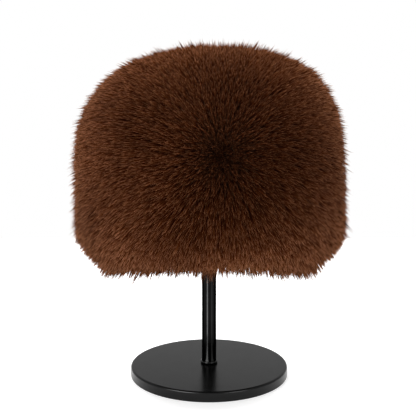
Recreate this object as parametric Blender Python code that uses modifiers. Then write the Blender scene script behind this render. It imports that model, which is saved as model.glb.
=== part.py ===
"""A long-haired fur beanie on its round-based display stand.

Units are metres, +Z is up, and the origin is the centre of the underside of the stand's base.
The hat's front faces -Y. Its hollow crown wall is a dome on an oval plan, the pile stands round it
as locks on a backing, and the stand's post carries a plain domed rest under the crown.
"""

import math
import random

import bmesh
import bpy
from mathutils import Vector

# Stand
BASE_DIAMETER = 0.150
BASE_THICKNESS = 0.009
BASE_EDGE_ROUND = 0.0010
POST_DIAMETER = 0.0138
COLLAR_WALL = 0.0009
COLLAR_HEIGHT = 0.0024
COLLAR_ROUND_SHARE = 0.8  # share of the collar's wall that its upper edge rounds over
REST_DIAMETER = 0.084
REST_EDGE_THICKNESS = 0.006
SEAT_HEIGHT = 0.2677  # top of the rest, above the floor

# Hat, inside and wall
HEAD_WIDTH = 0.172  # across the opening, ear to ear
HEAD_LENGTH = 0.187  # across the opening, front to back
CROWN_DEPTH = 0.140  # from the front of the rim up to the inside of the crown
WALL_THICKNESS = 0.003
EAR_DROP = 0.016  # how much lower the fringe hangs at the ears than at the front

# Hat, pile
PILE_DEPTH = 0.033  # from the wall to the outline of the fur
FRINGE_DROP = 0.0137  # how far the fur hangs below the front of the rim
CROWN_LEAN = 0.0046  # how far the top of the fur is brushed towards +X
LOCK_SPACING = 0.0175
LOCK_LENGTH = 0.0115
LOCK_PROUD = 0.0045  # how far the tips stand out beyond the outline of the fur
LOCK_COMB = 0.0025  # how far a lock's tip is combed down
COMB_SPREAD = 0.6  # share by which that varies from lock to lock
LOCK_SCATTER = 0.0036  # how far the roots of a lock stray, each way

# Clearances
SEAT_GAP = 0.0003  # between pieces that touch

# Forms: exponents of the superellipses, where 2 is an ellipse and more is squarer
PLAN_SQUARENESS = 2.4
CROWN_SQUARENESS = 2.9
HEM_SQUARENESS = 4.1
WIDEST_SHARE = 0.30  # height of the widest ring, as a share of the fur's height
HEM_TURN_SHARE = 0.53  # share of the quarter turn under the widest ring that the hem keeps
HEM_EDGE_SHARE = 0.35  # where the inner edge of the hem lies, as a share of the fringe's drop
REST_EASE = 0.93  # the rest's crown is this much narrower than the hat's, so that its edge hangs clear

# Facets
ROUND_STEPS = 96
SMALL_ROUND_STEPS = 40
EDGE_ARC_STEPS = 3
WALL_COLUMNS = 48
WALL_RINGS = 9
REST_RINGS = 6
DENSE_STEPS = 120
FEWEST_LOCK_ROWS = 4
FEWEST_LOCKS_ROUND = 6
SHARP_ANGLE = math.radians(40)
LOCK_SEED = 7

# Places worked out from the sizes
BASE_TOP = BASE_THICKNESS
INSIDE_APEX = SEAT_HEIGHT + SEAT_GAP
RIM_HEIGHT = INSIDE_APEX - CROWN_DEPTH
FUR_TOP = INSIDE_APEX + WALL_THICKNESS + SEAT_GAP + PILE_DEPTH
FUR_BOTTOM = RIM_HEIGHT - FRINGE_DROP
FUR_WIDEST = FUR_BOTTOM + WIDEST_SHARE * (FUR_TOP - FUR_BOTTOM)
MERGE_DISTANCE = 0.00001


def remove_everything():
    """Empties the file, so that the script gives the same model each time it is run."""
    for thing in list(bpy.data.objects):
        bpy.data.objects.remove(thing, do_unlink=True)


def make_collection(name):
    """A new collection in the scene."""
    collection = bpy.data.collections.new(name)
    bpy.context.scene.collection.children.link(collection)
    return collection


def make_material(name, colour, roughness, metallic=0.0):
    """A Principled material of one colour."""
    material = bpy.data.materials.new(name)
    material.use_nodes = True
    shader = material.node_tree.nodes["Principled BSDF"]
    shader.inputs["Base Color"].default_value = (*colour, 1.0)
    shader.inputs["Roughness"].default_value = roughness
    shader.inputs["Metallic"].default_value = metallic
    return material


def add_object(name, mesh, material, collection):
    """Puts a mesh in the collection as an object with one material."""
    piece = bpy.data.objects.new(name, mesh)
    piece.data.materials.append(material)
    collection.objects.link(piece)
    return piece


def turned_piece(name, profile, closed, steps, material, collection):
    """A solid of revolution about Z: a profile of (radius, height) points that a Screw modifier turns.
    The profile runs down its outer side, top to bottom. A closed profile makes a ring."""
    mesh = bpy.data.meshes.new(name)
    edges = [(i, i + 1) for i in range(len(profile) - 1)]
    if closed:
        edges.append((len(profile) - 1, 0))
    mesh.from_pydata([(radius, 0.0, height) for radius, height in profile], edges, [])
    piece = add_object(name, mesh, material, collection)
    screw = piece.modifiers.new("turn", "SCREW")
    screw.axis = "Z"
    screw.angle = 2 * math.pi
    screw.steps = steps
    screw.render_steps = steps
    screw.use_merge_vertices = True
    screw.merge_threshold = MERGE_DISTANCE
    screw.use_smooth_shade = True
    return piece


def quarter_round(centre_radius, centre_height, round_radius, start_degrees):
    """Points of a quarter circle in the profile plane that turns clockwise from the start angle."""
    points = []
    for step in range(EDGE_ARC_STEPS + 1):
        angle = math.radians(start_degrees - 90.0 * step / EDGE_ARC_STEPS)
        points.append((
            centre_radius + round_radius * math.cos(angle),
            centre_height + round_radius * math.sin(angle),
        ))
    return points


def superellipse(turn, squareness):
    """The unit superellipse: the cosine and sine of the turn, each drawn out towards a square."""
    across, along = math.cos(turn), math.sin(turn)
    power = 2.0 / squareness
    return (
        math.copysign(abs(across) ** power, across),
        math.copysign(abs(along) ** power, along),
    )


def fringe_drop(height, along):
    """How far the hat sags at a height: nothing at the front and back, most at the ears, growing from the
    widest ring down to the hem as the square of the depth below that ring."""
    below = min(max((FUR_WIDEST - height) / (FUR_WIDEST - FUR_BOTTOM), 0.0), 1.0)
    return EAR_DROP * (1.0 - along * along) * below * below


def ring_point(section, turn):
    """The point at a turn on a ring whose section is (half width, half depth, height, lean)."""
    half_width, half_depth, height, lean = section
    across, along = superellipse(turn, PLAN_SQUARENESS)
    return Vector((
        half_width * across + lean,
        half_depth * along,
        height - fringe_drop(height, along),
    ))


def evenly_spaced(sections, count):
    """Picks count + 1 sections at even steps of length along a dense list of them, ends included."""
    lengths = [0.0]
    for before, after in zip(sections, sections[1:]):
        lengths.append(lengths[-1] + math.hypot(after[0] - before[0], after[2] - before[2]))
    picked, place = [], 0
    for step in range(count + 1):
        target = lengths[-1] * step / count
        while place < len(lengths) - 2 and lengths[place + 1] < target:
            place += 1
        share = (target - lengths[place]) / (lengths[place + 1] - lengths[place])
        before, after = sections[place], sections[place + 1]
        picked.append(tuple(b + (a - b) * share for b, a in zip(before, after)))
    return picked


def dome_sections(outset):
    """Dense sections of the crown's dome from the rim up, outset from the inside of the hat."""
    sections = []
    for step in range(DENSE_STEPS + 1):
        ring, rise = superellipse(0.5 * math.pi * step / DENSE_STEPS, CROWN_SQUARENESS)
        sections.append((
            (HEAD_WIDTH / 2 + outset) * ring,
            (HEAD_LENGTH / 2 + outset) * ring,
            RIM_HEIGHT + (CROWN_DEPTH + outset) * rise,
            0.0,
        ))
    return sections


def fur_sections(inset):
    """Dense sections of the fur's outline from the hem up to the top, inset from its surface."""
    half_width = HEAD_WIDTH / 2 + WALL_THICKNESS + SEAT_GAP + PILE_DEPTH - inset
    half_depth = HEAD_LENGTH / 2 + WALL_THICKNESS + SEAT_GAP + PILE_DEPTH - inset
    below = FUR_WIDEST - FUR_BOTTOM - inset
    above = FUR_TOP - FUR_WIDEST - inset
    sections = []
    for step in range(DENSE_STEPS):
        turn = 0.5 * math.pi * HEM_TURN_SHARE * (1.0 - step / DENSE_STEPS)
        ring, fall = superellipse(turn, HEM_SQUARENESS)
        sections.append((half_width * ring, half_depth * ring, FUR_WIDEST - below * fall, 0.0))
    for step in range(DENSE_STEPS + 1):
        ring, rise = superellipse(0.5 * math.pi * step / DENSE_STEPS, CROWN_SQUARENESS)
        lean = CROWN_LEAN * rise * rise
        sections.append((half_width * ring, half_depth * ring, FUR_WIDEST + above * rise, lean))
    return sections


def add_ring(bm, section, count, offset=0.0, scatter=None):
    """Adds a ring of vertices and returns it as a list of (turn, vertex). The offset is a share of a step."""
    ring = []
    for index in range(count):
        turn = 2 * math.pi * (index + offset) / count
        point = ring_point(section, turn)
        if scatter:
            point += Vector([scatter.uniform(-LOCK_SCATTER, LOCK_SCATTER) for _ in range(3)])
        ring.append((turn, bm.verts.new(point)))
    return ring


def zip_rings(bm, lower, upper):
    """Fills the band between two rings with triangles that face out, whatever their counts."""
    faces, i, j = [], 0, 0

    def entry(ring, index):
        turn, vertex = ring[index % len(ring)]
        return turn + 2 * math.pi * (index // len(ring)), vertex

    while i < len(lower) or j < len(upper):
        lower_middle = entry(lower, i)[0] + entry(lower, i + 1)[0]
        upper_middle = entry(upper, j)[0] + entry(upper, j + 1)[0]
        if j >= len(upper) or (i < len(lower) and lower_middle <= upper_middle):
            corners = (entry(lower, i)[1], entry(lower, i + 1)[1], entry(upper, j)[1])
            i += 1
        else:
            corners = (entry(lower, i)[1], entry(upper, j + 1)[1], entry(upper, j)[1])
            j += 1
        faces.append(bm.faces.new(corners))
    return faces


def close_top(bm, ring, section):
    """Closes a ring with a fan of triangles round one vertex at the section's centre."""
    apex = bm.verts.new((section[3], 0.0, section[2]))
    return [
        bm.faces.new((ring[k][1], ring[(k + 1) % len(ring)][1], apex)) for k in range(len(ring))
    ]


def dome_surface(bm, outset):
    """The crown's dome as an open triangle net, faces out. Returns its rings and faces."""
    sections = evenly_spaced(dome_sections(outset), WALL_RINGS)
    rings = [add_ring(bm, section, WALL_COLUMNS) for section in sections[:-1]]
    faces = []
    for lower, upper in zip(rings, rings[1:]):
        faces += zip_rings(bm, lower, upper)
    faces += close_top(bm, rings[-1], sections[-1])
    return rings, faces


def finish_mesh(bm, name):
    """Turns a bmesh into a mesh with its faces pointing out."""
    bmesh.ops.recalc_face_normals(bm, faces=bm.faces)
    mesh = bpy.data.meshes.new(name)
    bm.to_mesh(mesh)
    bm.free()
    return mesh


def build_base(material, collection):
    """The round plate that the stand rests on, its two edges rounded."""
    radius = BASE_DIAMETER / 2
    inner = radius - BASE_EDGE_ROUND
    profile = [(0.0, BASE_TOP)]
    profile += quarter_round(inner, BASE_TOP - BASE_EDGE_ROUND, BASE_EDGE_ROUND, 90.0)
    profile += quarter_round(inner, BASE_EDGE_ROUND, BASE_EDGE_ROUND, 0.0)
    profile.append((0.0, 0.0))
    return turned_piece("stand_base", profile, False, ROUND_STEPS, material, collection)


def build_collar(material, collection):
    """The small ring round the foot of the post, its upper edge rounded over."""
    inner = POST_DIAMETER / 2 + SEAT_GAP
    outer = inner + COLLAR_WALL
    bottom = BASE_TOP + SEAT_GAP
    edge = COLLAR_WALL * COLLAR_ROUND_SHARE
    profile = [(inner, bottom + COLLAR_HEIGHT)]
    profile += quarter_round(outer - edge, bottom + COLLAR_HEIGHT - edge, edge, 90.0)
    profile += [(outer, bottom), (inner, bottom)]
    return turned_piece("post_collar", profile, True, SMALL_ROUND_STEPS, material, collection)


def rest_underside():
    """Height of the flat underside of the rest, worked out from the fall of its crown."""
    return SEAT_HEIGHT - rest_fall(REST_DIAMETER / 2) - REST_EDGE_THICKNESS


def rest_fall(radius):
    """How far the rest's crown has fallen at a radius: the dome of the hat, drawn in a little."""
    share = radius / (REST_EASE * HEAD_WIDTH / 2)
    return CROWN_DEPTH * (1.0 - (1.0 - share ** CROWN_SQUARENESS) ** (1.0 / CROWN_SQUARENESS))


def build_post(material, collection):
    """The straight round post, from the base up to the rest."""
    bottom = BASE_TOP + SEAT_GAP
    top = rest_underside() - SEAT_GAP
    bpy.ops.mesh.primitive_cylinder_add(
        vertices=SMALL_ROUND_STEPS,
        radius=POST_DIAMETER / 2,
        depth=top - bottom,
        location=(0.0, 0.0, (top + bottom) / 2),
    )
    post = bpy.context.object
    post.name = "stand_post"
    post.data.materials.append(material)
    post.data.shade_smooth()
    post.data.set_sharp_from_angle(angle=SHARP_ANGLE)
    for owner in list(post.users_collection):
        owner.objects.unlink(post)
    collection.objects.link(post)
    return post


def build_rest(material, collection):
    """The domed disc under the crown, hidden in the hat and left plain."""
    radius = REST_DIAMETER / 2
    profile = []
    for step in range(REST_RINGS + 1):
        out = radius * step / REST_RINGS
        profile.append((out, SEAT_HEIGHT - rest_fall(out)))
    profile += [(radius, rest_underside()), (0.0, rest_underside())]
    return turned_piece("hat_rest", profile, False, SMALL_ROUND_STEPS, material, collection)


def build_crown_wall(material, collection):
    """The hollow wall that holds the head: the dome's outer surface, given its thickness inwards."""
    bm = bmesh.new()
    dome_surface(bm, WALL_THICKNESS)
    wall = add_object("crown_wall", finish_mesh(bm, "crown_wall"), material, collection)
    thickness = wall.modifiers.new("wall", "SOLIDIFY")
    thickness.thickness = WALL_THICKNESS
    thickness.offset = -1.0
    thickness.use_even_offset = True
    return wall


def build_fur(material, collection):
    """The pile: a backing that fits over the wall, and a lock on every triangle of its outer side."""
    bm = bmesh.new()
    scatter = random.Random(LOCK_SEED)
    inner_rings, _ = dome_surface(bm, WALL_THICKNESS + SEAT_GAP)

    body = fur_sections(LOCK_LENGTH - LOCK_PROUD)
    skin_outset = WALL_THICKNESS + SEAT_GAP
    edge_width = HEAD_WIDTH / 2 + skin_outset
    edge_depth = HEAD_LENGTH / 2 + skin_outset
    edge_height = RIM_HEIGHT - HEM_EDGE_SHARE * FRINGE_DROP
    hem = add_ring(bm, (edge_width, edge_depth, edge_height, 0.0), WALL_COLUMNS)
    zip_rings(bm, hem, inner_rings[0])

    length = sum(
        math.hypot(after[0] - before[0], after[2] - before[2]) for before, after in zip(body, body[1:])
    )
    rows = max(FEWEST_LOCK_ROWS, round(length / (LOCK_SPACING * math.sqrt(3) / 2)))
    sections = evenly_spaced(body, rows)
    outer_faces = []
    lower = hem
    for row, section in enumerate(sections[:-1]):
        girth = math.pi * (section[0] + section[1])
        count = max(FEWEST_LOCKS_ROUND, round(girth / LOCK_SPACING))
        upper = add_ring(bm, section, count, 0.5 * (row % 2), scatter)
        outer_faces += zip_rings(bm, lower, upper)
        lower = upper
    outer_faces += close_top(bm, lower, sections[-1])

    bmesh.ops.recalc_face_normals(bm, faces=bm.faces)
    tips = bmesh.ops.poke(bm, faces=outer_faces, offset=LOCK_LENGTH)["verts"]
    for tip in tips:
        combed = LOCK_COMB * scatter.uniform(1.0 - COMB_SPREAD, 1.0 + COMB_SPREAD)
        tip.co.z -= combed
    return add_object("fur_pile", finish_mesh(bm, "fur_pile"), material, collection)


def build_all():
    """Builds the stand and the hat in one collection."""
    remove_everything()
    collection = make_collection("fur_beanie_on_stand")
    black = make_material("satin_black_metal", (0.020, 0.020, 0.021), 0.38, 0.4)
    hide = make_material("brown_cloth", (0.060, 0.028, 0.014), 0.85)
    fur = make_material("brown_fur", (0.090, 0.036, 0.016), 0.70)
    build_base(black, collection)
    build_collar(black, collection)
    build_post(black, collection)
    build_rest(black, collection)
    build_crown_wall(hide, collection)
    build_fur(fur, collection)


build_all()
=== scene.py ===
# %% [markdown]
# # A deep-fur beanie on its display stand
#
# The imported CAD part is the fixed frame: a round plate, a slim post with a small collar, a domed rest, and a
# hat made of a hollow wall inside a thick pile. This script keeps the sizes of that frame and gives each
# surface its real form and finish. Only loose tips of the fur pass the frame's outer box, by less than
# 5 mm. The fur takes most of the work, because on the real hat nothing else is seen. It is drawn as 222,000
# fine strands, gathered in pointed locks that grow out of a dark coat.
#
# The cells go from the frame to the camera, the stand, the wall of the hat, the fur, and the light.

import math

import bpy
import numpy as np
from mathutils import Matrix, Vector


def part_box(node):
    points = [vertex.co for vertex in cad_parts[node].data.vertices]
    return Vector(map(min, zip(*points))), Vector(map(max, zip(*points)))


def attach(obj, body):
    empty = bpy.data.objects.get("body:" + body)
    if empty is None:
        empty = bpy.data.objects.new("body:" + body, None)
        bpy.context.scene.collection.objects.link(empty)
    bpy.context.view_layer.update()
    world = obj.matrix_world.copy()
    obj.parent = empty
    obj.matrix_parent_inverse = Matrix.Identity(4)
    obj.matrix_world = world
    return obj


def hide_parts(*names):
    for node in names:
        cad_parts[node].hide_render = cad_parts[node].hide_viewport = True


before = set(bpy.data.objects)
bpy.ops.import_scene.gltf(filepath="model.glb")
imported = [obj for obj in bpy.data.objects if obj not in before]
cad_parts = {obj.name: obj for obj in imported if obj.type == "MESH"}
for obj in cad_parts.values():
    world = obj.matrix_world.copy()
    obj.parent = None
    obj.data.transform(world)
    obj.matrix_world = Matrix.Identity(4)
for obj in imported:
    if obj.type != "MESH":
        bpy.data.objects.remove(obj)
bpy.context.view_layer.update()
print("nodes in the frame:", sorted(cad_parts))

# %% [markdown]
# ## The camera
#
# A product photograph like this one is taken from a little over half a metre, with the lens slightly above
# the middle of the hat and tilted down a few degrees. The tilt shows in the plate, whose round top looks like
# a flat oval. A camera could be aimed at an empty with a constraint, but a plain place and tilt are easier to
# read and to check, so they are written here as the sizes that a photographer would note down.

# %% Camera
camera_data = bpy.data.cameras.new("camera")
camera_data.sensor_width = 36.0
camera_data.lens = 55.36
camera = bpy.data.objects.new("camera", camera_data)
camera.location = (-0.00103, -0.600, 0.2203)
camera.rotation_euler = (math.radians(90.0 - 5.84), 0.0, 0.0)
bpy.context.scene.collection.objects.link(camera)
bpy.context.scene.camera = camera
print("camera stands %.2f m in front of the post" % -camera.location.y)

# %% [markdown]
# ## Meshes from arrays
#
# Every new piece is worked out with numpy, as whole arrays of points, and handed to Blender at once. Adding
# vertices one by one with bmesh would give the same mesh, but for hundreds of thousands of points it takes
# minutes. `make_piece` takes the points and groups of faces, each group an array with one row per face, and
# writes the corners of all the faces in one go.


# %% Points and faces to a piece
def make_piece(name, points, face_groups, material, stands_for):
    """An object at the origin from points (n, 3) and arrays of faces (m, corners), riding on the part's
    body, with the material that it takes. The CAD node that it stands for is hidden."""
    mesh = bpy.data.meshes.new(name)
    corners = np.concatenate([group.ravel() for group in face_groups])
    sizes = np.concatenate([np.full(len(group), group.shape[1]) for group in face_groups])
    mesh.vertices.add(len(points))
    mesh.vertices.foreach_set("co", np.ascontiguousarray(points, dtype=np.float32).ravel())
    mesh.loops.add(len(corners))
    mesh.loops.foreach_set("vertex_index", corners.astype(np.int32))
    mesh.polygons.add(len(sizes))
    mesh.polygons.foreach_set("loop_start", (np.cumsum(sizes) - sizes).astype(np.int32))
    mesh.polygons.foreach_set("use_smooth", np.ones(len(sizes), dtype=bool))
    mesh.update(calc_edges=True)
    mesh.materials.append(material)
    piece = bpy.data.objects.new(name, mesh)
    bpy.context.scene.collection.objects.link(piece)
    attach(piece, "root")
    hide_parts(stands_for)
    triangles = int((sizes - 2).sum())
    print("%s: %d points, %d triangles" % (name, len(points), triangles))
    return piece


def add_map(piece, name, corners):
    """Gives a piece a UV map from one (u, v) row per face corner."""
    layer = piece.data.uv_layers.new(name=name)
    layer.data.foreach_set("uv", np.ascontiguousarray(corners, dtype=np.float32).ravel())


# %% [markdown]
# ## The finish of the stand
#
# The plate, collar and post are steel with a satin black powder coat. The coat is nearly black in itself.
# What the eye sees is the light that it mirrors: hardly any where it faces the eye, and much more at a flat
# angle, which is why the top of the plate looks dark grey and the post looks black. So the base colour stays
# very dark and the specular level low, and Fresnel does the rest. Fine noise in Object coordinates gives the
# coat its slight orange peel, in the bump and in the roughness.
#
# The same coat is used three times with other values. The collar's is a little shinier. The post shows
# narrow stripes of light and no bright rim down its sides, as a dark mirror does, so it is drawn as metal
# with a dark tint at flat angles.


# %% Node helpers
def new_material(name):
    """A material with a Principled shader. Returns it with its nodes, its links and the shader."""
    material = bpy.data.materials.new(name)
    material.use_nodes = True
    tree = material.node_tree
    return material, tree.nodes, tree.links, tree.nodes["Principled BSDF"]


def noise_field(nodes, links, scale, detail, vector, roughness=0.5):
    """A noise texture read at a vector socket. The scale counts features per metre. Returns its factor."""
    noise = nodes.new("ShaderNodeTexNoise")
    noise.inputs["Scale"].default_value = scale
    noise.inputs["Detail"].default_value = detail
    noise.inputs["Roughness"].default_value = roughness
    links.new(vector, noise.inputs["Vector"])
    return noise.outputs["Fac"]


def spread(nodes, links, factor, low, high, from_low=0.3, from_high=0.7):
    """Maps a noise factor to a range of values."""
    ranges = nodes.new("ShaderNodeMapRange")
    ranges.inputs["From Min"].default_value = from_low
    ranges.inputs["From Max"].default_value = from_high
    ranges.inputs["To Min"].default_value = low
    ranges.inputs["To Max"].default_value = high
    links.new(factor, ranges.inputs["Value"])
    return ranges.outputs["Result"]


def colour_steps(nodes, links, factor, stops):
    """A colour ramp from (place, (red, green, blue)) stops, linear light. Returns its colour."""
    ramp = nodes.new("ShaderNodeValToRGB")
    elements = ramp.color_ramp.elements
    while len(elements) < len(stops):
        elements.new(0.5)
    for element, (place, colour) in zip(elements, stops):
        element.position = place
        element.color = (*colour, 1.0)
    links.new(factor, ramp.inputs["Fac"])
    return ramp.outputs["Color"]


def multiplied(nodes, links, first, second):
    """One colour multiplied with another."""
    mix = nodes.new("ShaderNodeMix")
    mix.data_type = "RGBA"
    mix.blend_type = "MULTIPLY"
    mix.inputs["Factor"].default_value = 1.0
    links.new(first, mix.inputs["A"])
    links.new(second, mix.inputs["B"])
    return mix.outputs["Result"]


def bump(nodes, links, height, distance, strength, shader):
    """Joins a height field to the shader's normal."""
    node = nodes.new("ShaderNodeBump")
    node.inputs["Distance"].default_value = distance
    node.inputs["Strength"].default_value = strength
    links.new(height, node.inputs["Height"])
    links.new(node.outputs["Normal"], shader.inputs["Normal"])


def powder_coat(name, level, smoothest, roughest, peel, mirror):
    """Satin black powder coat: colour, roughness and peel from noise, and how strongly it mirrors."""
    material, nodes, links, shader = new_material(name)
    place = nodes.new("ShaderNodeTexCoord").outputs["Object"]
    cloudy = noise_field(nodes, links, 90.0, 3.0, place)
    grainy = noise_field(nodes, links, 2200.0, 2.0, place)
    dark, pale = 0.85 * level, 1.15 * level
    black = colour_steps(nodes, links, cloudy, [(0.3, (dark, dark, dark)), (0.7, (pale, pale, pale))])
    links.new(black, shader.inputs["Base Color"])
    links.new(spread(nodes, links, cloudy, smoothest, roughest), shader.inputs["Roughness"])
    bump(nodes, links, grainy, distance=0.00002, strength=peel, shader=shader)
    shader.inputs["Specular IOR Level"].default_value = mirror
    return material


plate_coat = powder_coat("plate_powder_coat", level=0.0008, smoothest=0.22, roughest=0.27,
                         peel=0.15, mirror=0.23)
post_coat = powder_coat("post_powder_coat", level=0.0052, smoothest=0.15, roughest=0.18,
                        peel=0.05, mirror=0.5)
collar_coat = powder_coat("collar_powder_coat", level=0.0008, smoothest=0.16, roughest=0.20,
                          peel=0.05, mirror=0.60)
post_shader = post_coat.node_tree.nodes["Principled BSDF"]
post_shader.inputs["Metallic"].default_value = 1.0
post_shader.inputs["Specular Tint"].default_value = (0.04, 0.04, 0.04, 1.0)

# %% [markdown]
# ## The stand
#
# All four pieces are turned: each is a profile of (radius, height) points carried once round the post's axis.
# The frame already has them with few facets. They are turned again here with many more steps and finer
# edges, because a facet shows at once in a glossy black edge. The sizes come from the frame's own boxes. A
# flat face gets one more ring close to its rounded edge, so that smooth shading bends only at the edge.


# %% Turning a profile
def turned_points(profile, steps):
    """Points of a turned piece: row i, column j is (radius_i cos t_j, radius_i sin t_j, height_i)."""
    radius, height = profile.T
    turn = 2.0 * np.pi * np.arange(steps) / steps
    return np.stack([
        np.outer(radius, np.cos(turn)),
        np.outer(radius, np.sin(turn)),
        np.outer(height, np.ones(steps)),
    ], axis=-1)


def band_faces(rows, columns, first=0):
    """Quads between neighbouring rows of a net that closes round on itself, the outside on the left."""
    row, column = np.meshgrid(np.arange(rows - 1), np.arange(columns), indexing="ij")
    beside = (column + 1) % columns
    quads = [row * columns + column, (row + 1) * columns + column,
             (row + 1) * columns + beside, row * columns + beside]
    return np.stack(quads, axis=-1).reshape(-1, 4) + first


def fan_faces(columns, centre, first, flip):
    """Triangles that close a ring of points, which starts at index first, round one centre point."""
    ring = np.arange(columns)
    beside = (ring + 1) % columns
    ends = (ring, beside) if flip else (beside, ring)
    return np.stack([ends[0] + first, ends[1] + first, np.full(columns, centre)], axis=-1)


def closed_form(rings, first_pole, last_pole):
    """Joins rings (rows, columns, 3) and a pole at either end into one closed form, from top to bottom on
    its outside. Returns the points and the groups of faces."""
    rows, columns, _ = rings.shape
    points = np.concatenate([rings.reshape(-1, 3), [first_pole, last_pole]])
    count = rows * columns
    return points, [
        band_faces(rows, columns),
        fan_faces(columns, count, 0, True),
        fan_faces(columns, count + 1, count - columns, False),
    ]


def edge_round(centre_radius, centre_height, size, start, end, steps=8):
    """Points on a rounded edge: centre plus size times the cosine and sine of an angle, in degrees."""
    angle = np.radians(np.linspace(start, end, steps + 1))
    return np.stack([centre_radius + size * np.cos(angle), centre_height + size * np.sin(angle)], axis=-1)


def turned_piece(name, profile, steps, coat, stands_for):
    """A closed turned piece whose profile runs from the axis at the top to the axis at the bottom."""
    rings = turned_points(profile[1:-1], steps)
    points, faces = closed_form(rings, (0.0, 0.0, profile[0, 1]), (0.0, 0.0, profile[-1, 1]))
    return make_piece(name, points, faces, coat, stands_for)


# %% [markdown]
# ### The plate
#
# A cut steel disc, 9 mm thick, with its upper edge rounded by nearly 2 mm and its lower edge just broken
# before coating. The round mirrors the dark underside of the fur and then the bright room, which draws one
# black and one bright line along the front edge. A Bevel modifier on a cylinder could round it, but the
# profile says it more directly.

# %% The plate
plate_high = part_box("stand_base")[1]
plate_radius, plate_top = plate_high.x, plate_high.z
TOP_ROUND = 0.0019
LOW_ROUND = 0.0005
# How far from a rounded edge a flat face gets its extra ring
HOLD = 0.0004
top_inner, low_inner = plate_radius - TOP_ROUND, plate_radius - LOW_ROUND
plate_profile = np.concatenate([
    [(0.0, plate_top), (plate_radius * 0.5, plate_top), (top_inner - HOLD, plate_top)],
    edge_round(top_inner, plate_top - TOP_ROUND, TOP_ROUND, 90.0, 0.0),
    [(plate_radius, plate_top - TOP_ROUND - HOLD), (plate_radius, LOW_ROUND + HOLD)],
    edge_round(low_inner, LOW_ROUND, LOW_ROUND, 0.0, -90.0),
    [(low_inner - HOLD, 0.0), (0.0, 0.0)],
])
plate = turned_piece("plate", plate_profile, 256, plate_coat, "stand_base")
print("plate %.0f mm across" % (2000 * plate_radius))

# %% [markdown]
# ### The post and its collar
#
# The post is a straight rod that runs up into the hat. The collar is a thin ring pressed round its foot,
# with its upper edge rounded over, and it catches one small bright arc. The collar is a ring and not a disc,
# so its profile is a loop of its own, and the net closes in both directions.

# %% The post
post_low, post_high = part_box("stand_post")
post_radius = post_high.x
POST_EDGE = 0.0003
post_profile = np.concatenate([
    [(0.0, post_high.z), (post_radius - POST_EDGE - HOLD, post_high.z)],
    edge_round(post_radius - POST_EDGE, post_high.z - POST_EDGE, POST_EDGE, 90.0, 0.0, 4),
    [(post_radius, post_high.z - POST_EDGE - HOLD), (post_radius, post_low.z + POST_EDGE + HOLD)],
    edge_round(post_radius - POST_EDGE, post_low.z + POST_EDGE, POST_EDGE, 0.0, -90.0, 4),
    [(post_radius - POST_EDGE - HOLD, post_low.z), (0.0, post_low.z)],
])
post = turned_piece("post", post_profile, 96, post_coat, "stand_post")

# %% The collar
collar_low, collar_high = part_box("post_collar")
collar_radius = collar_high.x
COLLAR_GAP = 0.0003
COLLAR_ROUND_SHARE = 0.8
collar_inner = post_radius + COLLAR_GAP
collar_edge = (collar_radius - collar_inner) * COLLAR_ROUND_SHARE
collar_profile = np.concatenate([
    [(collar_inner, collar_low.z), (collar_inner, collar_high.z)],
    edge_round(collar_radius - collar_edge, collar_high.z - collar_edge, collar_edge, 90.0, 0.0, 10),
    [(collar_radius, collar_low.z), (collar_inner, collar_low.z)],
])
collar_steps = 96
collar_rings = turned_points(collar_profile[:-1], collar_steps)
rows = len(collar_rings)
closing = band_faces(2, collar_steps)
closing = np.where(closing >= collar_steps, closing - collar_steps, closing + (rows - 1) * collar_steps)
make_piece("collar", collar_rings.reshape(-1, 3), [band_faces(rows, collar_steps), closing],
           collar_coat, "post_collar")

# %% [markdown]
# ### The rest
#
# The hat hangs on a plain domed disc at the top of the post. It is hidden in the hat and shows only from
# below, so it stays as plain as the frame has it: a crown that follows the inside of the hat and a flat
# underside. Only its rings are finer.

# %% The rest
HEAD_WIDTH, HEAD_LENGTH, CROWN_DEPTH = 0.172, 0.187, 0.140
CROWN_SQUARENESS = 2.9
# The dome of the rest is the hat's inside narrowed by this, so that its edge hangs clear
REST_EASE = 0.93
REST_EDGE = 0.0008
rest_low, rest_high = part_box("hat_rest")
rest_radius = rest_high.x
out = np.linspace(0.0, rest_radius, 25)
share = out / (REST_EASE * HEAD_WIDTH / 2)
crown = rest_high.z - CROWN_DEPTH * (1.0 - (1.0 - share ** CROWN_SQUARENESS) ** (1.0 / CROWN_SQUARENESS))
rest_profile = np.concatenate([
    np.stack([out, crown], axis=-1)[:-1],
    edge_round(rest_radius - REST_EDGE, crown[-1] - REST_EDGE, REST_EDGE, 75.0, 0.0, 4),
    edge_round(rest_radius - REST_EDGE, rest_low.z + REST_EDGE, REST_EDGE, 0.0, -90.0, 4),
    [(rest_radius - REST_EDGE - HOLD, rest_low.z), (0.0, rest_low.z)],
])
turned_piece("rest", rest_profile, 128, plate_coat, "hat_rest")

# %% [markdown]
# ## The form of the hat
#
# The hat is a squarish dome on an oval plan. A superellipse says that in one number: 2 gives an ellipse and
# more gives squarer shoulders. The plan and the rise of the crown are both superellipses, and the hem sags a
# little over the ears. Scaling a sphere could never give these shoulders, and a sculpted mesh would lose the
# sizes, so the same formulas as in the frame are used here, with the same sizes.

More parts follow.
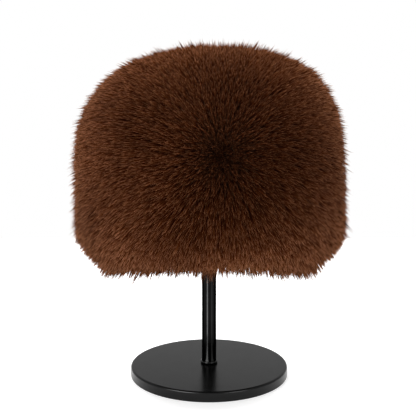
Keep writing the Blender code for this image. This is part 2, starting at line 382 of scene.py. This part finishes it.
# %% Sizes of the hat
WALL = 0.003
GAP = 0.0003
PILE = 0.033
FRINGE_DROP = 0.0137
EAR_DROP = 0.016
CROWN_LEAN = 0.0046
PLAN_SQUARENESS = 2.4
HEM_SQUARENESS = 4.1
WIDEST_AT = 0.30
inside_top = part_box("crown_wall")[1].z - WALL
rim = inside_top - CROWN_DEPTH
fur_top = inside_top + WALL + GAP + PILE
fur_bottom = rim - FRINGE_DROP
fur_widest = fur_bottom + WIDEST_AT * (fur_top - fur_bottom)
fur_half_width = HEAD_WIDTH / 2 + WALL + GAP + PILE
fur_half_depth = HEAD_LENGTH / 2 + WALL + GAP + PILE
print("rim at %.1f mm, fur from %.1f to %.1f mm" % (1000 * rim, 1000 * fur_bottom, 1000 * fur_top))


# %% Superellipses and sections
def superellipse(turn, squareness):
    """Cosine and sine of the turn, each with its own sign and raised to 2 over the squareness."""
    across, along = np.cos(turn), np.sin(turn)
    power = 2.0 / squareness
    return np.sign(across) * np.abs(across) ** power, np.sign(along) * np.abs(along) ** power


def even_turns(columns):
    """Turns that step evenly by length round the plan, worked out on a dense closed plan of the hat."""
    dense = np.linspace(0.0, 2.0 * np.pi, 20001)
    across, along = superellipse(dense, PLAN_SQUARENESS)
    step = np.hypot(np.diff(across * fur_half_width), np.diff(along * fur_half_depth))
    length = np.concatenate([[0.0], np.cumsum(step)])
    return np.interp(np.linspace(0.0, length[-1], columns, endpoint=False), length, dense)


def place_on(section, turn):
    """Points on sections (half width, half depth, height, lean) at the given turns. The plan is a
    superellipse, and below the widest ring the hem sags over the ears as the square of the depth."""
    half_width, half_depth, height, lean = np.moveaxis(section, -1, 0)
    across, along = superellipse(turn, PLAN_SQUARENESS)
    below = np.clip((fur_widest - height) / (fur_widest - fur_bottom), 0.0, 1.0)
    sag = EAR_DROP * (1.0 - along ** 2) * below ** 2
    return np.stack([half_width * across + lean, half_depth * along, height - sag], axis=-1)


def resample(section, count):
    """Picks count sections at even steps of length along a dense run of them, ends included."""
    step = np.linalg.norm(np.diff(section[:, [0, 2]], axis=0), axis=1)
    length = np.concatenate([[0.0], np.cumsum(step)])
    wanted = np.linspace(0.0, length[-1], count)
    return np.stack([np.interp(wanted, length, column) for column in section.T], axis=-1)


# %% [markdown]
# ## The wall of the hat
#
# The pile is sewn to a wall of cloth and hide that holds the head. It shows only inside, when the hat is seen
# from below or lifted off. It is one surface: its profile runs from the top of the dome down the outside,
# round the rim, and up the inside. Solidify could thicken a single dome, but a profile that turns back on
# itself also gives the rim its rounded fold.


# %% Profile of the wall
def dome_sections(outset, count):
    """Sections of the dome from the top down to the rim, outset from the inside of the hat. Ring and rise
    are a superellipse of the crown's squareness."""
    ring, rise = superellipse(np.linspace(0.5 * np.pi, 0.0, 400), CROWN_SQUARENESS)
    dense = np.stack([
        (HEAD_WIDTH / 2 + outset) * ring,
        (HEAD_LENGTH / 2 + outset) * ring,
        rim + (CROWN_DEPTH + outset) * rise,
        np.zeros_like(ring),
    ], axis=-1)
    return resample(dense, count)


wall_columns = 160
wall_turns = even_turns(wall_columns)
outer = dome_sections(WALL, 34)
inner = dome_sections(0.0, 34)[::-1]
fold = np.radians(np.array([-45.0, -90.0, -135.0]))
fold_out = WALL / 2 * (1.0 + np.cos(fold))
rim_fold = np.stack([
    HEAD_WIDTH / 2 + fold_out,
    HEAD_LENGTH / 2 + fold_out,
    rim + WALL / 3 * np.sin(fold),
    np.zeros(3),
], axis=-1)
wall_sections = np.concatenate([outer[1:], rim_fold, inner[:-1]])
wall_rings = place_on(wall_sections[:, None, :], wall_turns[None, :])
wall_points, wall_faces = closed_form(wall_rings, (0.0, 0.0, inside_top + WALL), (0.0, 0.0, inside_top))

# %% [markdown]
# ### Its cloth
#
# Close twill: fine slanting ribs about a millimetre apart, dark brown, slightly uneven in colour. Ribs must
# follow the cloth round the dome, so the wall has a UV map of its own, one unit round and one unit from the
# outer top to the inner top, and the ribs are a wave across the sum of the two.


# %% Twill
RIBS_ROUND, RIBS_DOWN = 520.0, 420.0


def twill():
    """Dark brown twill: ribs from a sine of u and v, colour and roughness from ribs and noise."""
    material, nodes, links, shader = new_material("twill_cloth")
    cloth = nodes.new("ShaderNodeUVMap")
    cloth.uv_map = "cloth"
    parts = nodes.new("ShaderNodeSeparateXYZ")
    links.new(cloth.outputs["UV"], parts.inputs["Vector"])
    slant = nodes.new("ShaderNodeMath")
    slant.operation = "MULTIPLY_ADD"
    slant.inputs[1].default_value = RIBS_ROUND * 2.0 * math.pi
    links.new(parts.outputs["X"], slant.inputs[0])
    down = nodes.new("ShaderNodeMath")
    down.operation = "MULTIPLY"
    down.inputs[1].default_value = RIBS_DOWN * 2.0 * math.pi
    links.new(parts.outputs["Y"], down.inputs[0])
    links.new(down.outputs["Value"], slant.inputs[2])
    rib = nodes.new("ShaderNodeMath")
    rib.operation = "SINE"
    links.new(slant.outputs["Value"], rib.inputs[0])
    place = nodes.new("ShaderNodeTexCoord").outputs["Object"]
    worn = noise_field(nodes, links, 60.0, 4.0, place)
    base = colour_steps(nodes, links, spread(nodes, links, rib.outputs["Value"], 0.0, 1.0, -1.0, 1.0),
                        [(0.0, (0.016, 0.008, 0.005)), (1.0, (0.052, 0.027, 0.016))])
    tone = colour_steps(nodes, links, worn, [(0.3, (0.75, 0.75, 0.75)), (0.7, (1.0, 1.0, 1.0))])
    links.new(multiplied(nodes, links, base, tone), shader.inputs["Base Color"])
    links.new(spread(nodes, links, worn, 0.78, 0.92), shader.inputs["Roughness"])
    bump(nodes, links, rib.outputs["Value"], distance=0.0001, strength=0.4, shader=shader)
    shader.inputs["Specular IOR Level"].default_value = 0.2
    return material


hat_wall = make_piece("hat_wall", wall_points, wall_faces, twill(), "crown_wall")

# %% The wall's own map
wall_rows = len(wall_rings)
row, column = np.meshgrid(np.arange(wall_rows - 1), np.arange(wall_columns), indexing="ij")
down_share = (np.arange(wall_rows) + 1.0) / (wall_rows + 1.0)
band_map = np.stack([
    np.stack([column, column, column + 1, column + 1], axis=-1) / wall_columns,
    down_share[np.stack([row, row + 1, row + 1, row], axis=-1)],
], axis=-1).reshape(-1, 2)
ends = np.arange(wall_columns) / wall_columns
beyond = ends + 1.0 / wall_columns
middle = ends + 0.5 / wall_columns
top_map = np.stack([
    np.stack([ends, beyond, middle], axis=-1),
    np.tile([down_share[0], down_share[0], 0.0], (wall_columns, 1)),
], axis=-1).reshape(-1, 2)
low_map = np.stack([
    np.stack([beyond, ends, middle], axis=-1),
    np.tile([down_share[-1], down_share[-1], 1.0], (wall_columns, 1)),
], axis=-1).reshape(-1, 2)
add_map(hat_wall, "cloth", np.concatenate([band_map, top_map, low_map]))

# %% [markdown]
# ## The dark coat under the fur
#
# Looking straight into deep fur, the eye meets near-black depth, not hide. Here that depth is a closed shell
# round the wall, a little uneven, 14 mm below the outline of the fur. The strands are rooted in it. A bare
# wall would show through between the strands, and filling all the depth with strands would take millions.


# %% Sections of the fur
# Share of a quarter turn by which the fur's profile turns in under the hat
HEM_TURN = 0.53


def fur_sections(inset, count):
    """Sections of the fur's outline from the hem up to the top, inset from its surface. Under the widest
    ring the profile has the hem's squareness, above it the crown's, and the crown leans as rise squared."""
    half_width = fur_half_width - inset
    half_depth = fur_half_depth - inset
    below = fur_widest - fur_bottom - inset
    above = fur_top - fur_widest - inset
    ring, fall = superellipse(np.linspace(0.5 * np.pi * HEM_TURN, 0.0, 300), HEM_SQUARENESS)
    lower = np.stack([half_width * ring, half_depth * ring, fur_widest - below * fall, 0.0 * ring], axis=-1)
    ring, rise = superellipse(np.linspace(0.0, 0.5 * np.pi, 400), CROWN_SQUARENESS)
    upper = np.stack([half_width * ring, half_depth * ring, fur_widest + above * rise,
                      CROWN_LEAN * rise ** 2], axis=-1)
    return resample(np.concatenate([lower, upper[1:]]), count)


def slow_waves(points, size, seed):
    """A smooth uneven field between about -1 and 1: twice the mean of eight sine waves of about the given
    size in seeded directions."""
    rng = np.random.default_rng(seed)
    directions = rng.normal(size=(8, 3))
    directions /= np.linalg.norm(directions, axis=1, keepdims=True)
    pitch = 2.0 * np.pi / (size * rng.uniform(0.7, 1.4, 8))
    phase = rng.uniform(0.0, 2.0 * np.pi, 8)
    return np.sin((points @ directions.T) * pitch + phase).mean(axis=-1) * 2.0


COAT_INSET = 0.0140
LUMP_SIZE, LUMP_HEIGHT = 0.016, 0.0009
coat_columns = 160
coat_turns = even_turns(coat_columns)
skin = WALL + GAP
hem_edge = np.array([[HEAD_WIDTH / 2 + skin, HEAD_LENGTH / 2 + skin, rim, 0.0]])
coat_outer = np.concatenate([hem_edge, fur_sections(COAT_INSET, 44)])[::-1]
coat_inner = dome_sections(skin, 30)[::-1]
coat_inner = coat_inner[coat_inner[:, 2] > rim + 0.002]
outer_rings = place_on(coat_outer[1:, None, :], coat_turns[None, :])
lumps = slow_waves(outer_rings, LUMP_SIZE, 3)[..., None] * LUMP_HEIGHT
centre = np.array([0.0, 0.0, fur_widest])
outward = outer_rings - centre
outward /= np.linalg.norm(outward, axis=-1, keepdims=True)
outer_rings[:-2] += (lumps * outward)[:-2]
inner_rings = place_on(coat_inner[:-1, None, :], coat_turns[None, :])
coat_points, coat_faces = closed_form(
    np.concatenate([outer_rings, inner_rings]),
    (CROWN_LEAN, 0.0, coat_outer[0, 2]),
    (0.0, 0.0, coat_inner[-1, 2]),
)


# %% The coat's finish
def under_coat():
    """Matt near-black brown, mottled, with a fine felted bump."""
    material, nodes, links, shader = new_material("under_coat")
    place = nodes.new("ShaderNodeTexCoord").outputs["Object"]
    mottle = noise_field(nodes, links, 320.0, 4.0, place)
    felt = noise_field(nodes, links, 1500.0, 3.0, place)
    base = colour_steps(nodes, links, mottle, [
        (0.32, (0.022, 0.0060, 0.0018)), (0.68, (0.046, 0.0130, 0.0040))])
    links.new(base, shader.inputs["Base Color"])
    links.new(spread(nodes, links, mottle, 0.8, 0.95), shader.inputs["Roughness"])
    bump(nodes, links, felt, distance=0.0004, strength=0.6, shader=shader)
    shader.inputs["Specular IOR Level"].default_value = 0.05
    return material


make_piece("fur_coat", coat_points, coat_faces, under_coat(), "fur_pile")

# %% [markdown]
# ## How the hair lies
#
# Each hair leaves the hide, leans away from the middle of the hat, and droops under its weight. The rule is
# the sum of three directions: mostly away from a point in the middle of the hat, a little along the
# surface's own outward direction, and some way down, less so on the front and back. Then the sum is pressed
# flatter from front to back, because brushed fur lies along the front of the hat and doesn't stand straight
# out of it. The crown is left out of that, because its hair would part along a dark line when seen from
# above. A combed particle system could hold such directions, but they would be painted by hand, and the
# exported model keeps meshes only.
#
# A strand's length isn't set by hand either. From its root it runs along its direction until it meets the
# outline of the fur, which is the level 1 of the function below.


# %% The outline as a level
def fur_level(points, beyond):
    """Below 1 inside the fur's outline and 1 on it, with the outline pushed out by a distance. The lean and
    the sag are first undone, then ring and height are measured on the two superellipses. The sag is the
    root of a quadratic in the depth below the widest ring."""
    x, y, z = np.moveaxis(points, -1, 0)
    half_width, half_depth = fur_half_width + beyond, fur_half_depth + beyond
    above, below = fur_top - fur_widest + beyond, fur_widest - fur_bottom + beyond
    rise = np.clip((z - fur_widest) / above, 0.0, 1.0)
    across = np.abs((x - CROWN_LEAN * rise ** 2) / half_width)
    along = np.abs(y / half_depth)
    ring = (across ** PLAN_SQUARENESS + along ** PLAN_SQUARENESS) ** (1.0 / PLAN_SQUARENESS)
    towards_front = np.clip(along / np.maximum(ring, 1e-6), 0.0, 1.0)
    sag = EAR_DROP * (1.0 - towards_front ** 2) / (fur_widest - fur_bottom) ** 2
    depth = np.maximum(fur_widest - z, 0.0)
    fall = 2.0 * depth / (1.0 + np.sqrt(1.0 + 4.0 * sag * depth)) / below
    rise = np.maximum(z - fur_widest, 0.0) / above
    upper = (ring ** CROWN_SQUARENESS + rise ** CROWN_SQUARENESS) ** (1.0 / CROWN_SQUARENESS)
    lower = (ring ** HEM_SQUARENESS + fall ** HEM_SQUARENESS) ** (1.0 / HEM_SQUARENESS)
    return np.where(z > fur_widest, upper, lower)


def unit(vectors):
    """Vectors scaled to length 1."""
    return vectors / np.maximum(np.linalg.norm(vectors, axis=-1, keepdims=True), 1e-9)


def outward_at(points):
    """Outward direction of the fur's outline near points: the slope of the level, from small steps."""
    step = 0.0005
    slopes = [fur_level(points + step * axis, 0.0) - fur_level(points - step * axis, 0.0)
              for axis in np.eye(3)]
    return unit(np.stack(slopes, axis=-1))


HAIR_CENTRE = np.array([0.0121, 0.0, 0.1992])
ALONG_OUTWARD, ALONG_AWAY = 0.165, 0.835
DROOP, SIDE_DROOP = 0.082, 0.387
FLATTER = 0.30
CROWN_SHARPNESS = 4


def lie_of_hair(tips):
    """Direction of the hair whose tip is at a point: parts of outward, away from the centre, and down, less
    of it where the outline faces the front or back. It is pressed flatter from front to back, and not on
    the crown."""
    outward = outward_at(tips)
    way = ALONG_OUTWARD * outward + ALONG_AWAY * unit(tips - HAIR_CENTRE)
    way[:, 2] -= DROOP + SIDE_DROOP * (1.0 - outward[:, 1] ** 2)
    crown = np.clip(outward[:, 2], 0.0, 1.0) ** CROWN_SHARPNESS
    way[:, 1] *= FLATTER + (1.0 - FLATTER) * crown
    return unit(way)


SHORTEST, LONGEST = 0.002, 0.060


def reach(roots, directions, beyond):
    """Length from each root along its direction to the outline pushed out by a distance, by halving."""
    low, high = np.full(len(roots), SHORTEST), np.full(len(roots), LONGEST)
    for _ in range(16):
        half = 0.5 * (low + high)
        inside = fur_level(roots + half[:, None] * directions, beyond) < 1.0
        low, high = np.where(inside, half, low), np.where(inside, high, half)
    return 0.5 * (low + high)


# %% [markdown]
# ## Where the locks grow
#
# Fur gathers in small pointed locks, here about 1.7 mm apart at the root. Their roots are spread down the
# profile by area, closer towards the hem, and round the plan by the golden angle, which never lines them up
# in rows. A random scatter would leave bald spots and crowded ones.
#
# The locks along the front and back of the hem reach lower than the outline and make the fringe. At the two
# low corners, seen from the front, they stand out more than elsewhere, because there they would lie smooth
# and straight. The real hat is also no even dome, so a short list of soft spots says where its outline is
# pressed in or stands out by two to five millimetres. The spots and the two corners are fitted to the one
# view in the photograph, and the back of the hat gets the same ones.

# %% Roots of the locks
LOCKS = 44400
PLAN_STEPS = 4096
GOLDEN = (math.sqrt(5.0) - 1.0) / 2.0
# How much closer the locks stand at the hem, and how far up that reaches
CROWDING, CROWDING_HEIGHT = 0.7, 0.012
root_line = np.concatenate([hem_edge, fur_sections(COAT_INSET, 400)])
girth = root_line[:, 0] + root_line[:, 1]
girth *= 1.0 + CROWDING * np.exp(-((root_line[:, 2] - fur_bottom) / CROWDING_HEIGHT) ** 2)
run = np.linalg.norm(np.diff(root_line[:, [0, 2]], axis=0), axis=1)
area = np.concatenate([[0.0], np.cumsum(0.5 * (girth[1:] + girth[:-1]) * run)])
order = np.arange(LOCKS)
wanted = area[-1] * (order + 0.5) / LOCKS
lock_section = np.stack([np.interp(wanted, area, part) for part in root_line.T], axis=-1)
golden = (order * GOLDEN) % 1.0
plan = even_turns(PLAN_STEPS)
lock_turn = np.interp(golden * PLAN_STEPS, np.arange(PLAN_STEPS + 1), np.append(plan, 2.0 * np.pi))
lock_root = place_on(lock_section, lock_turn)

rng = np.random.default_rng(11)
lock_outward = outward_at(lock_root)
# A hair's direction depends on where its tip is, so a first guess is improved three times
FIRST_GUESS = 0.015
lock_tip = lock_root + FIRST_GUESS * lock_outward
for _ in range(3):
    lock_way = lie_of_hair(lock_tip)
    lock_tip = lock_root + reach(lock_root, lock_way, 0.0)[:, None] * lock_way


def near(x, z, radius):
    """A soft round spot seen from the front: 1 at (x, z), falling off over the radius."""
    away = np.hypot(lock_root[:, 0] - x, lock_root[:, 2] - z)
    return np.exp(-(away / radius) ** 2)


CORNER_LIFT = 0.45
TUFT_SIZE, TUFT_SWAY, LOCK_SWAY = 0.020, 0.035, 0.037
HEM_HEIGHT, FRINGE_HALF_WIDTH, FRINGE_LENGTH = 0.014, 0.083, 0.0092
tuft = np.stack([slow_waves(lock_root, TUFT_SIZE, seed) for seed in (21, 22, 23)], axis=-1)
low_corner = near(-0.102, 0.128, 0.024) + near(0.106, 0.126, 0.024)
lock_way += CORNER_LIFT * low_corner[:, None] * lock_outward
lock_way = unit(lock_way + TUFT_SWAY * tuft + rng.normal(0.0, LOCK_SWAY, (LOCKS, 3)))
hem = np.exp(-((lock_root[:, 2] - fur_bottom) / HEM_HEIGHT) ** 2)
low_hem = hem * np.exp(-(lock_root[:, 0] / FRINGE_HALF_WIDTH) ** 6)
lock_beyond = rng.normal(-0.0004, 0.0007, LOCKS) + FRINGE_LENGTH * low_hem
# Each spot is x, z, radius, and how far the fur stands out there
SPOTS = [
    (-0.070, 0.290, 0.036, -0.0028),
    (-0.036, 0.305, 0.025, -0.0028),
    (0.058, 0.300, 0.024, -0.0022),
    (0.105, 0.270, 0.025, -0.0024),
    (-0.115, 0.180, 0.050, -0.0026),
    (0.125, 0.212, 0.035, -0.0028),
    (0.120, 0.141, 0.018, 0.0046),
    (0.099, 0.119, 0.014, -0.0034),
    (-0.095, 0.119, 0.014, -0.0026),
    (-0.118, 0.145, 0.018, 0.0022),
]
for x, z, radius, amount in SPOTS:
    lock_beyond += amount * near(x, z, radius)
lock_length = reach(lock_root, lock_way, lock_beyond)
print("locks: mean length %.1f mm, root spacing about %.1f mm"
      % (1000 * lock_length.mean(), 1000 * math.sqrt(math.pi * area[-1] / LOCKS)))

# %% [markdown]
# ## Strands
#
# A lock holds five strands. Four start apart and meet near the lock's tip, and the fifth is shorter and
# strays. In about one lock of five the first strand is a guard hair, longer than the rest. The tips end on
# either side of the outline, by a random length that is greater at the hem, which gives the hat its soft
# rim. Each strand is a sliver: a root point, two points side by side three fifths of the way up, where it is
# widest and bends, and a tip point. Four triangles close it all round, so the whole coat stays light enough
# to export. Curves with a bevel would take many more.

# %% Roots, bends and tips of the strands
PER_LOCK = 5
GUARD_SHARE = 0.22
ROOT_DEPTH = 0.0012
BEND_AT = 0.60
BOW, WOBBLE = 0.055, 0.012
lock = np.repeat(order, PER_LOCK)
member = np.tile(np.arange(PER_LOCK), LOCKS)
count = len(lock)
stray = member == PER_LOCK - 1
guard = (member == 0) & (rng.random(count) < GUARD_SHARE)


def sideways(directions, amount):
    """Random offsets square to the directions, even over a disc of the given radius."""
    flat = rng.normal(size=directions.shape)
    flat = unit(flat - (flat * directions).sum(axis=-1, keepdims=True) * directions)
    return flat * (amount * np.sqrt(rng.random(len(directions))))[:, None]


way = lock_way[lock]
up = lock_outward[lock]
root = lock_root[lock] + sideways(up, np.where(stray, 0.0016, 0.0012)) - ROOT_DEPTH * up
long = lock_length[lock] * np.where(stray, rng.uniform(0.60, 0.98, count), rng.uniform(0.80, 1.02, count))
# Mostly short, now and then long, and capped, because long single spikes would show at the rim
overshoot = rng.gamma(1.5, 1.0, count) * (0.0015 + 0.0034 * hem[lock])
long += np.minimum(overshoot, 0.0085 + 0.0050 * hem[lock])
long = np.where(guard, long + rng.uniform(0.0008, 0.0038, count), long)
tip_spread = np.where(stray, 0.0018, 0.0008)
tip = lock_root[lock] + long[:, None] * unit(way + sideways(way, np.where(stray, 0.16, 0.03)))
tip += sideways(way, tip_spread)
over = tip - root
size = np.linalg.norm(over, axis=-1, keepdims=True)
lift = up - (up * over / size).sum(axis=-1, keepdims=True) * over / size
bend = root + BEND_AT * over + size * (BOW * lift + WOBBLE * rng.normal(size=(count, 3)))
print("strands:", count, "of which guard hairs:", int(guard.sum()))

# %% [markdown]
# ## The colour of a hair
#
# Each hair is nearly black at the root, dark red-brown along its length and much lighter towards the tip,
# partly in its own colour and partly as a painted glow of the light that shines through the thin tips round
# the outline, and no two are quite alike. Both facts go into the strand's UV map: v runs from root to tip,
# and u is a tone picked for the strand, part its own, part its lock's, part the wide soft patches that fur
# has, with painted light and shade added. The middle of the front and back is painted darkest, as painted
# shade for the depth that the eye sees looking straight down between the hairs, and the fringe and hem are
# painted lighter, as painted light for the glow at the hem. Guard hairs are never dark. A short list of soft
# spots, fitted to the same view as those of the outline, paints light and shade into some places, lighter or
# darker. The material is then two colour ramps, one multiplied with the other and both read from that map,
# and a little sheen lights the hairs that are seen at a flat angle.

# %% A shade for each strand
SHADE_SPREAD, SHADE_CALM = 0.145, 0.03
# Painted shade: middle marks the middle of the front and back, where the fur is painted darker for the shade
# seen looking straight down between the hairs
middle = np.exp(-((lock_root[:, 0] - 0.005) / 0.108) ** 2 - ((lock_root[:, 2] - 0.207) / 0.066) ** 2)
# Painted light: fringe lightens the lower front and back, and hem the hem all round, for the glow of light at
# the hem
fringe = np.exp(-((lock_root[:, 2] - fur_bottom) / 0.050) ** 2) * lock_outward[:, 1] ** 2
# The lock's tone: random wide patches plus the painted shade of the middle and the painted light of fringe and
# hem
lock_tone_and_painted_light = slow_waves(lock_root, 0.055, 31) * 0.06 - 0.20 * middle + 0.24 * fringe + 0.08 * hem
lock_tone_and_painted_light += rng.normal(0.0, 0.02, LOCKS)
# Painted light and shade: each spot is x, z, radius, and how much lighter the fur is painted there
LIGHT_AND_SHADE_SPOTS = [
    (0.085, 0.270, 0.040, 0.12),
    (-0.105, 0.150, 0.040, -0.20),
    (-0.044, 0.248, 0.040, -0.18),
    (0.075, 0.210, 0.055, -0.12),
    (0.090, 0.150, 0.035, -0.10),
]
for x, z, radius, amount in LIGHT_AND_SHADE_SPOTS:
    lock_tone_and_painted_light += amount * near(x, z, radius)
tone_and_painted_light = 0.5 + lock_tone_and_painted_light[lock] + (SHADE_SPREAD - SHADE_CALM * middle[lock]) * rng.normal(size=count)
tone_and_painted_light = np.clip(tone_and_painted_light, np.where(guard, 0.45, 0.01), 0.99)


def strand_finish():
    """Hair: a ramp along v times a ramp across u, rougher towards the root."""
    material, nodes, links, shader = new_material("hair")
    hair = nodes.new("ShaderNodeUVMap")
    hair.uv_map = "OFBake"
    parts = nodes.new("ShaderNodeSeparateXYZ")
    links.new(hair.outputs["UV"], parts.inputs["Vector"])
    along = colour_steps(nodes, links, parts.outputs["Y"], [
        (0.0, (0.028, 0.0066, 0.0017)),
        (0.45, (0.040, 0.0098, 0.0025)),
        (0.70, (0.050, 0.0128, 0.0034)),
        # The last two stops are partly the hair's own lighter tip and partly painted light: a glow of the
        # light that shines through the thin tips round the outline
        (0.86, (0.094, 0.0292, 0.0088)),
        (1.0, (0.580, 0.2600, 0.1250)),
    ])
    across = colour_steps(nodes, links, parts.outputs["X"], [
        (0.0, (0.14, 0.10, 0.10)),
        (0.5, (0.845, 0.745, 0.73)),
        (0.85, (1.5, 1.48, 1.52)),
        (1.0, (2.1, 2.3, 2.5)),
    ])
    links.new(multiplied(nodes, links, along, across), shader.inputs["Base Color"])
    links.new(spread(nodes, links, parts.outputs["Y"], 0.85, 0.5, 0.0, 1.0), shader.inputs["Roughness"])
    shader.inputs["Specular IOR Level"].default_value = 0.0
    shader.inputs["Sheen Weight"].default_value = 0.18
    shader.inputs["Sheen Roughness"].default_value = 0.30
    shader.inputs["Sheen Tint"].default_value = (1.0, 0.48, 0.26, 1.0)
    return material


hair = strand_finish()

# %% [markdown]
# ## Strands into pieces
#
# The strands are cut into bands from the hem up to the crown, so that each piece stays under the size that an
# export takes. Whole arrays again: four points and four triangles a strand, with its width set square to its
# own direction and to its bend.

# %% Bands of strands
SLIVER = np.array([[0, 1, 2], [3, 2, 1], [0, 3, 1], [0, 2, 3]])
ALONG = np.array([0.0, BEND_AT, BEND_AT, 1.0])
ASIDE = np.array([0.0, 1.0, -1.0, 0.0])


def slivers(chosen, thickness):
    """Points, faces and map of the chosen strands. The bend becomes two points, half the thickness to
    either side, square to the strand and to the way in which it bends."""
    line = tip[chosen] - root[chosen]
    side = unit(np.cross(line, bend[chosen] - root[chosen])) * (0.5 * thickness[chosen])[:, None]
    points = np.stack([root[chosen], bend[chosen] + side, bend[chosen] - side, tip[chosen]], axis=1)
    faces = (4 * np.arange(len(chosen))[:, None, None] + SLIVER[None]).reshape(-1, 3)
    corner_u = tone_and_painted_light[chosen][:, None, None] + 0.004 * ASIDE[SLIVER][None]
    corner_v = np.broadcast_to(ALONG[SLIVER], corner_u.shape)
    return points.reshape(-1, 3), faces, np.stack([corner_u, corner_v], axis=-1).reshape(-1, 2)


thickness = rng.uniform(0.00046, 0.00074, count) * np.where(guard, 0.8, 1.0) * (1.0 - 0.2 * hem[lock])
BANDS = ("hem", "side_low", "side_high", "shoulder", "crown")
for number, band in enumerate(BANDS):
    first, last = number * count // len(BANDS), (number + 1) * count // len(BANDS)
    points, faces, corner_map = slivers(np.arange(first, last), thickness)
    piece = make_piece("fur_" + band, points, [faces], hair, "fur_pile")
    add_map(piece, "OFBake", corner_map)

# %% [markdown]
# ## Floor and light
#
# The product stands on white with hardly any shadow. The floor is white and gives off part of its brightness
# itself, so only a faint shadow is left round the plate. A large soft light stands to the left of the camera
# and a weaker one to the right. One lies above the hat, and a wide one behind it lights the tips of the hairs
# round the outline. The world is a white room, dimmer for everything but the camera.
#
# The post is a mirror and shows two narrow lamps. Two strips stand close in front of it, and two more lie on
# the plate, where they carry the stripes down to the collar. Light linking lets them fall on the post alone.
# Two more lights, linked to the plate, brighten the gloss on its edge, and the two front lights leave out
# the post. Lights of the right size far away could do the same in a real studio, but there they would also
# have to be shaded from the fur.


# %% Floor
def white_floor():
    """Mostly even white, with a diffuse share that takes a faint shadow."""
    material, nodes, links, shader = new_material("white_floor")
    shader.inputs["Base Color"].default_value = (0.78, 0.78, 0.78, 1.0)
    shader.inputs["Roughness"].default_value = 0.9
    shader.inputs["Specular IOR Level"].default_value = 0.0
    shader.inputs["Emission Color"].default_value = (1.0, 1.0, 1.0, 1.0)
    shader.inputs["Emission Strength"].default_value = 0.40
    return material


FLOOR_SIZE = 1.7
corner = FLOOR_SIZE / 2
floor_mesh = bpy.data.meshes.new("floor")
floor_mesh.from_pydata(
    [(-corner, -corner, 0.0), (corner, -corner, 0.0), (corner, corner, 0.0), (-corner, corner, 0.0)],
    [], [(0, 1, 2, 3)])
floor_mesh.materials.append(white_floor())
floor = bpy.data.objects.new("floor", floor_mesh)
bpy.context.scene.collection.objects.link(floor)


# %% Lights
def soft_light(name, azimuth, elevation, distance, width, height, radiance, middle_height=0.2):
    """An area light that faces a point on the post's axis, in the hat unless another height is given.
    Azimuth counts to the right of the camera's side, in degrees. The power is radiance times area times
    pi."""
    data = bpy.data.lights.new(name, "AREA")
    data.shape = "RECTANGLE"
    data.size, data.size_y = width, height
    data.energy = radiance * width * height * math.pi
    light = bpy.data.objects.new(name, data)
    turn, lift = math.radians(azimuth), math.radians(elevation)
    light.location = (distance * math.sin(turn) * math.cos(lift),
                      -distance * math.cos(turn) * math.cos(lift),
                      middle_height + distance * math.sin(lift))
    light.rotation_euler = (0.5 * math.pi - lift, 0.0, turn)
    bpy.context.scene.collection.objects.link(light)
    return light


# Each light is name, azimuth, elevation, distance, width, height and radiance
LIGHTS = [
    ("key_left", -40.0, 25.0, 1.4, 0.8, 0.8, 5.8),
    ("edge_left", -40.0, 25.0, 1.39, 0.8, 0.8, 3.8),
    ("fill_right", 40.0, 20.0, 1.4, 0.6, 0.6, 2.75),
    ("edge_right", 40.0, 20.0, 1.39, 0.6, 0.6, 3.4),
    ("top", 180.0, 75.0, 1.4, 1.2, 1.0, 1.6),
    ("backdrop", 180.0, 22.0, 1.1, 1.9, 1.2, 5.0),
]
key, edge_left, fill, edge_right, top, backdrop = [soft_light(*values) for values in LIGHTS]
backdrop.visible_camera = False
for light in (top, backdrop):
    light.visible_glossy = False
# How far over the plate the lying lights are
LYING_GAP = 0.0006
strips = []
for side, azimuth, radiance in (("left", -27.0, 33.0), ("right", 43.6, 5.0)):
    strips.append(soft_light("strip_" + side, azimuth, 0.0, 0.125, 0.030, 0.120, radiance, 0.062))
    lying = soft_light("lying_" + side, azimuth, 0.0, 0.068, 0.009, 0.112, 0.6 * radiance,
                       plate_top + LYING_GAP)
    lying.rotation_euler = (math.pi, 0.0, math.radians(azimuth))
    strips.append(lying)
for light in (*strips, edge_left, edge_right):
    light.visible_diffuse = False
    light.visible_camera = False


def falls_on(light, pieces):
    """Lets a light fall on the given pieces only."""
    lit = bpy.data.collections.new(light.name + "_falls_on")
    for piece in pieces:
        lit.objects.link(piece)
    light.light_linking.receiver_collection = lit


others = [piece for piece in bpy.context.scene.objects if piece.type == "MESH" and piece != post]
for light in (key, fill):
    falls_on(light, others)
for strip in strips:
    falls_on(strip, [post])
for edge in (edge_left, edge_right):
    falls_on(edge, [plate])

# %% World
world = bpy.data.worlds.new("white_room")
world.use_nodes = True
bpy.context.scene.world = world
nodes, links = world.node_tree.nodes, world.node_tree.links
background = nodes["Background"]
background.inputs["Color"].default_value = (1.0, 1.0, 1.0, 1.0)
background.inputs["Strength"].default_value = 1.0
dimmer = nodes.new("ShaderNodeBackground")
dimmer.inputs["Color"].default_value = (1.0, 1.0, 1.0, 1.0)
dimmer.inputs["Strength"].default_value = 0.55
rays = nodes.new("ShaderNodeLightPath")
choose = nodes.new("ShaderNodeMixShader")
links.new(rays.outputs["Is Camera Ray"], choose.inputs["Fac"])
links.new(dimmer.outputs["Background"], choose.inputs[1])
links.new(background.outputs["Background"], choose.inputs[2])
links.new(choose.outputs["Shader"], nodes["World Output"].inputs["Surface"])
bpy.context.scene.view_settings.view_transform = "Standard"
bpy.context.scene.view_settings.look = "None"
